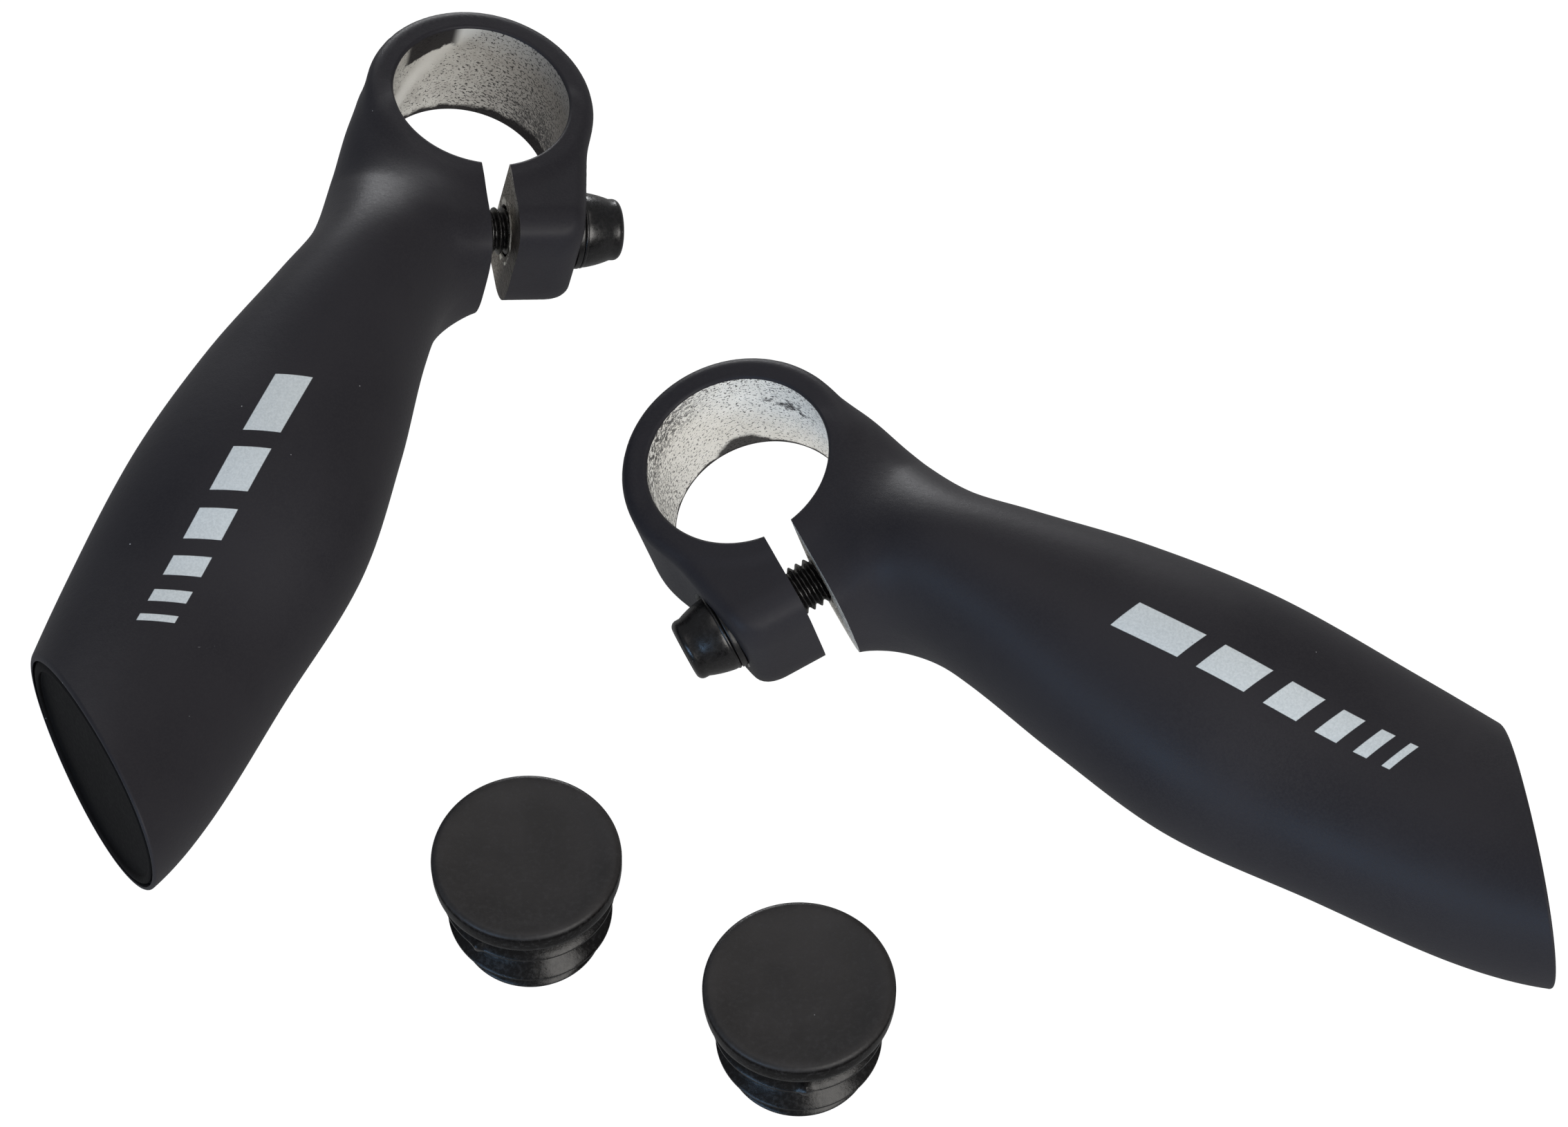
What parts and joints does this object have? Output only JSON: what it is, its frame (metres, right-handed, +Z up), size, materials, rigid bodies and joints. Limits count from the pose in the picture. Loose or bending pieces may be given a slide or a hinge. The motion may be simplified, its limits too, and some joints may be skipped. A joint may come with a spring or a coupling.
{
  "type": "pair of handlebar bar ends",
  "caption": "Mirrored pair of clamp-on alloy bar ends with oval, swelling grips, slanted capped ends and clamp bolts, laid out with two finned handlebar end plugs.",
  "frame": {"origin": "centre of the whole laid-out set, on the table plane", "axes": "+X along the longest extent, to the right in front of the set; +Y away from the viewer; +Z up from the table"},
  "size_m": [0.1747, 0.1494, 0.0266],
  "materials": {
    "body_paint": "matte black powder coat over cast aluminium, bare metal in the bore and slit",
    "cap_black": "matte black moulded plastic",
    "bolt_black": "glossy black oxide steel",
    "washer_black": "black steel",
    "plug_plastic": "satin black flexible plastic"
  },
  "bodies": {
    "right_bar_end": {"right_bar_end": "body_paint", "right_end_cap": "cap_black"},
    "right_bolt_washer": {"right_bolt_washer": "washer_black"},
    "right_clamp_bolt": {"right_clamp_bolt": "bolt_black"},
    "left_bar_end": {"left_bar_end": "body_paint", "left_end_cap": "cap_black"},
    "left_bolt_washer": {"left_bolt_washer": "washer_black"},
    "left_clamp_bolt": {"left_clamp_bolt": "bolt_black"},
    "left_handlebar_plug": {"left_handlebar_plug": "plug_plastic"},
    "right_handlebar_plug": {"right_handlebar_plug": "plug_plastic"}
  },
  "joints": [
    {"name": "right_bolt_travel", "type": "slide", "parent": "right_bar_end", "child": "right_bolt_washer", "axis": [-0.8772, -0.4264, -0.2208], "range_m": [0, 0.012]},
    {"name": "right_bolt_turn", "type": "hinge", "parent": "right_bolt_washer", "child": "right_clamp_bolt", "pos_m": [-0.00579, -0.01155, 0.00872], "axis": [-0.8772, -0.4264, -0.2208], "range_deg": [0, 4320.01]},
    {"name": "left_bar_end_lift", "type": "slide", "parent": "right_bar_end", "child": "left_bar_end", "axis": [0, 0, 1], "range_m": [0, 0.06]},
    {"name": "left_bolt_travel", "type": "slide", "parent": "left_bar_end", "child": "left_bolt_washer", "axis": [0.9591, 0.1773, -0.2208], "range_m": [0, 0.012]},
    {"name": "left_bolt_turn", "type": "hinge", "parent": "left_bolt_washer", "child": "left_clamp_bolt", "pos_m": [-0.02591, 0.04711, 0.00872], "axis": [0.9591, 0.1773, -0.2208], "range_deg": [0, 4320.01]},
    {"name": "left_plug_lift", "type": "slide", "parent": "right_bar_end", "child": "left_handlebar_plug", "axis": [0, 0, 1], "range_m": [0, 0.05]},
    {"name": "right_plug_lift", "type": "slide", "parent": "right_bar_end", "child": "right_handlebar_plug", "axis": [0, 0, 1], "range_m": [0, 0.05]}
  ],
  "couplings": [
    {"joint": "right_bolt_turn", "follows": "right_bolt_travel", "rad_per_m": 6283.2},
    {"joint": "left_bolt_turn", "follows": "left_bolt_travel", "rad_per_m": 6283.2}
  ]
}
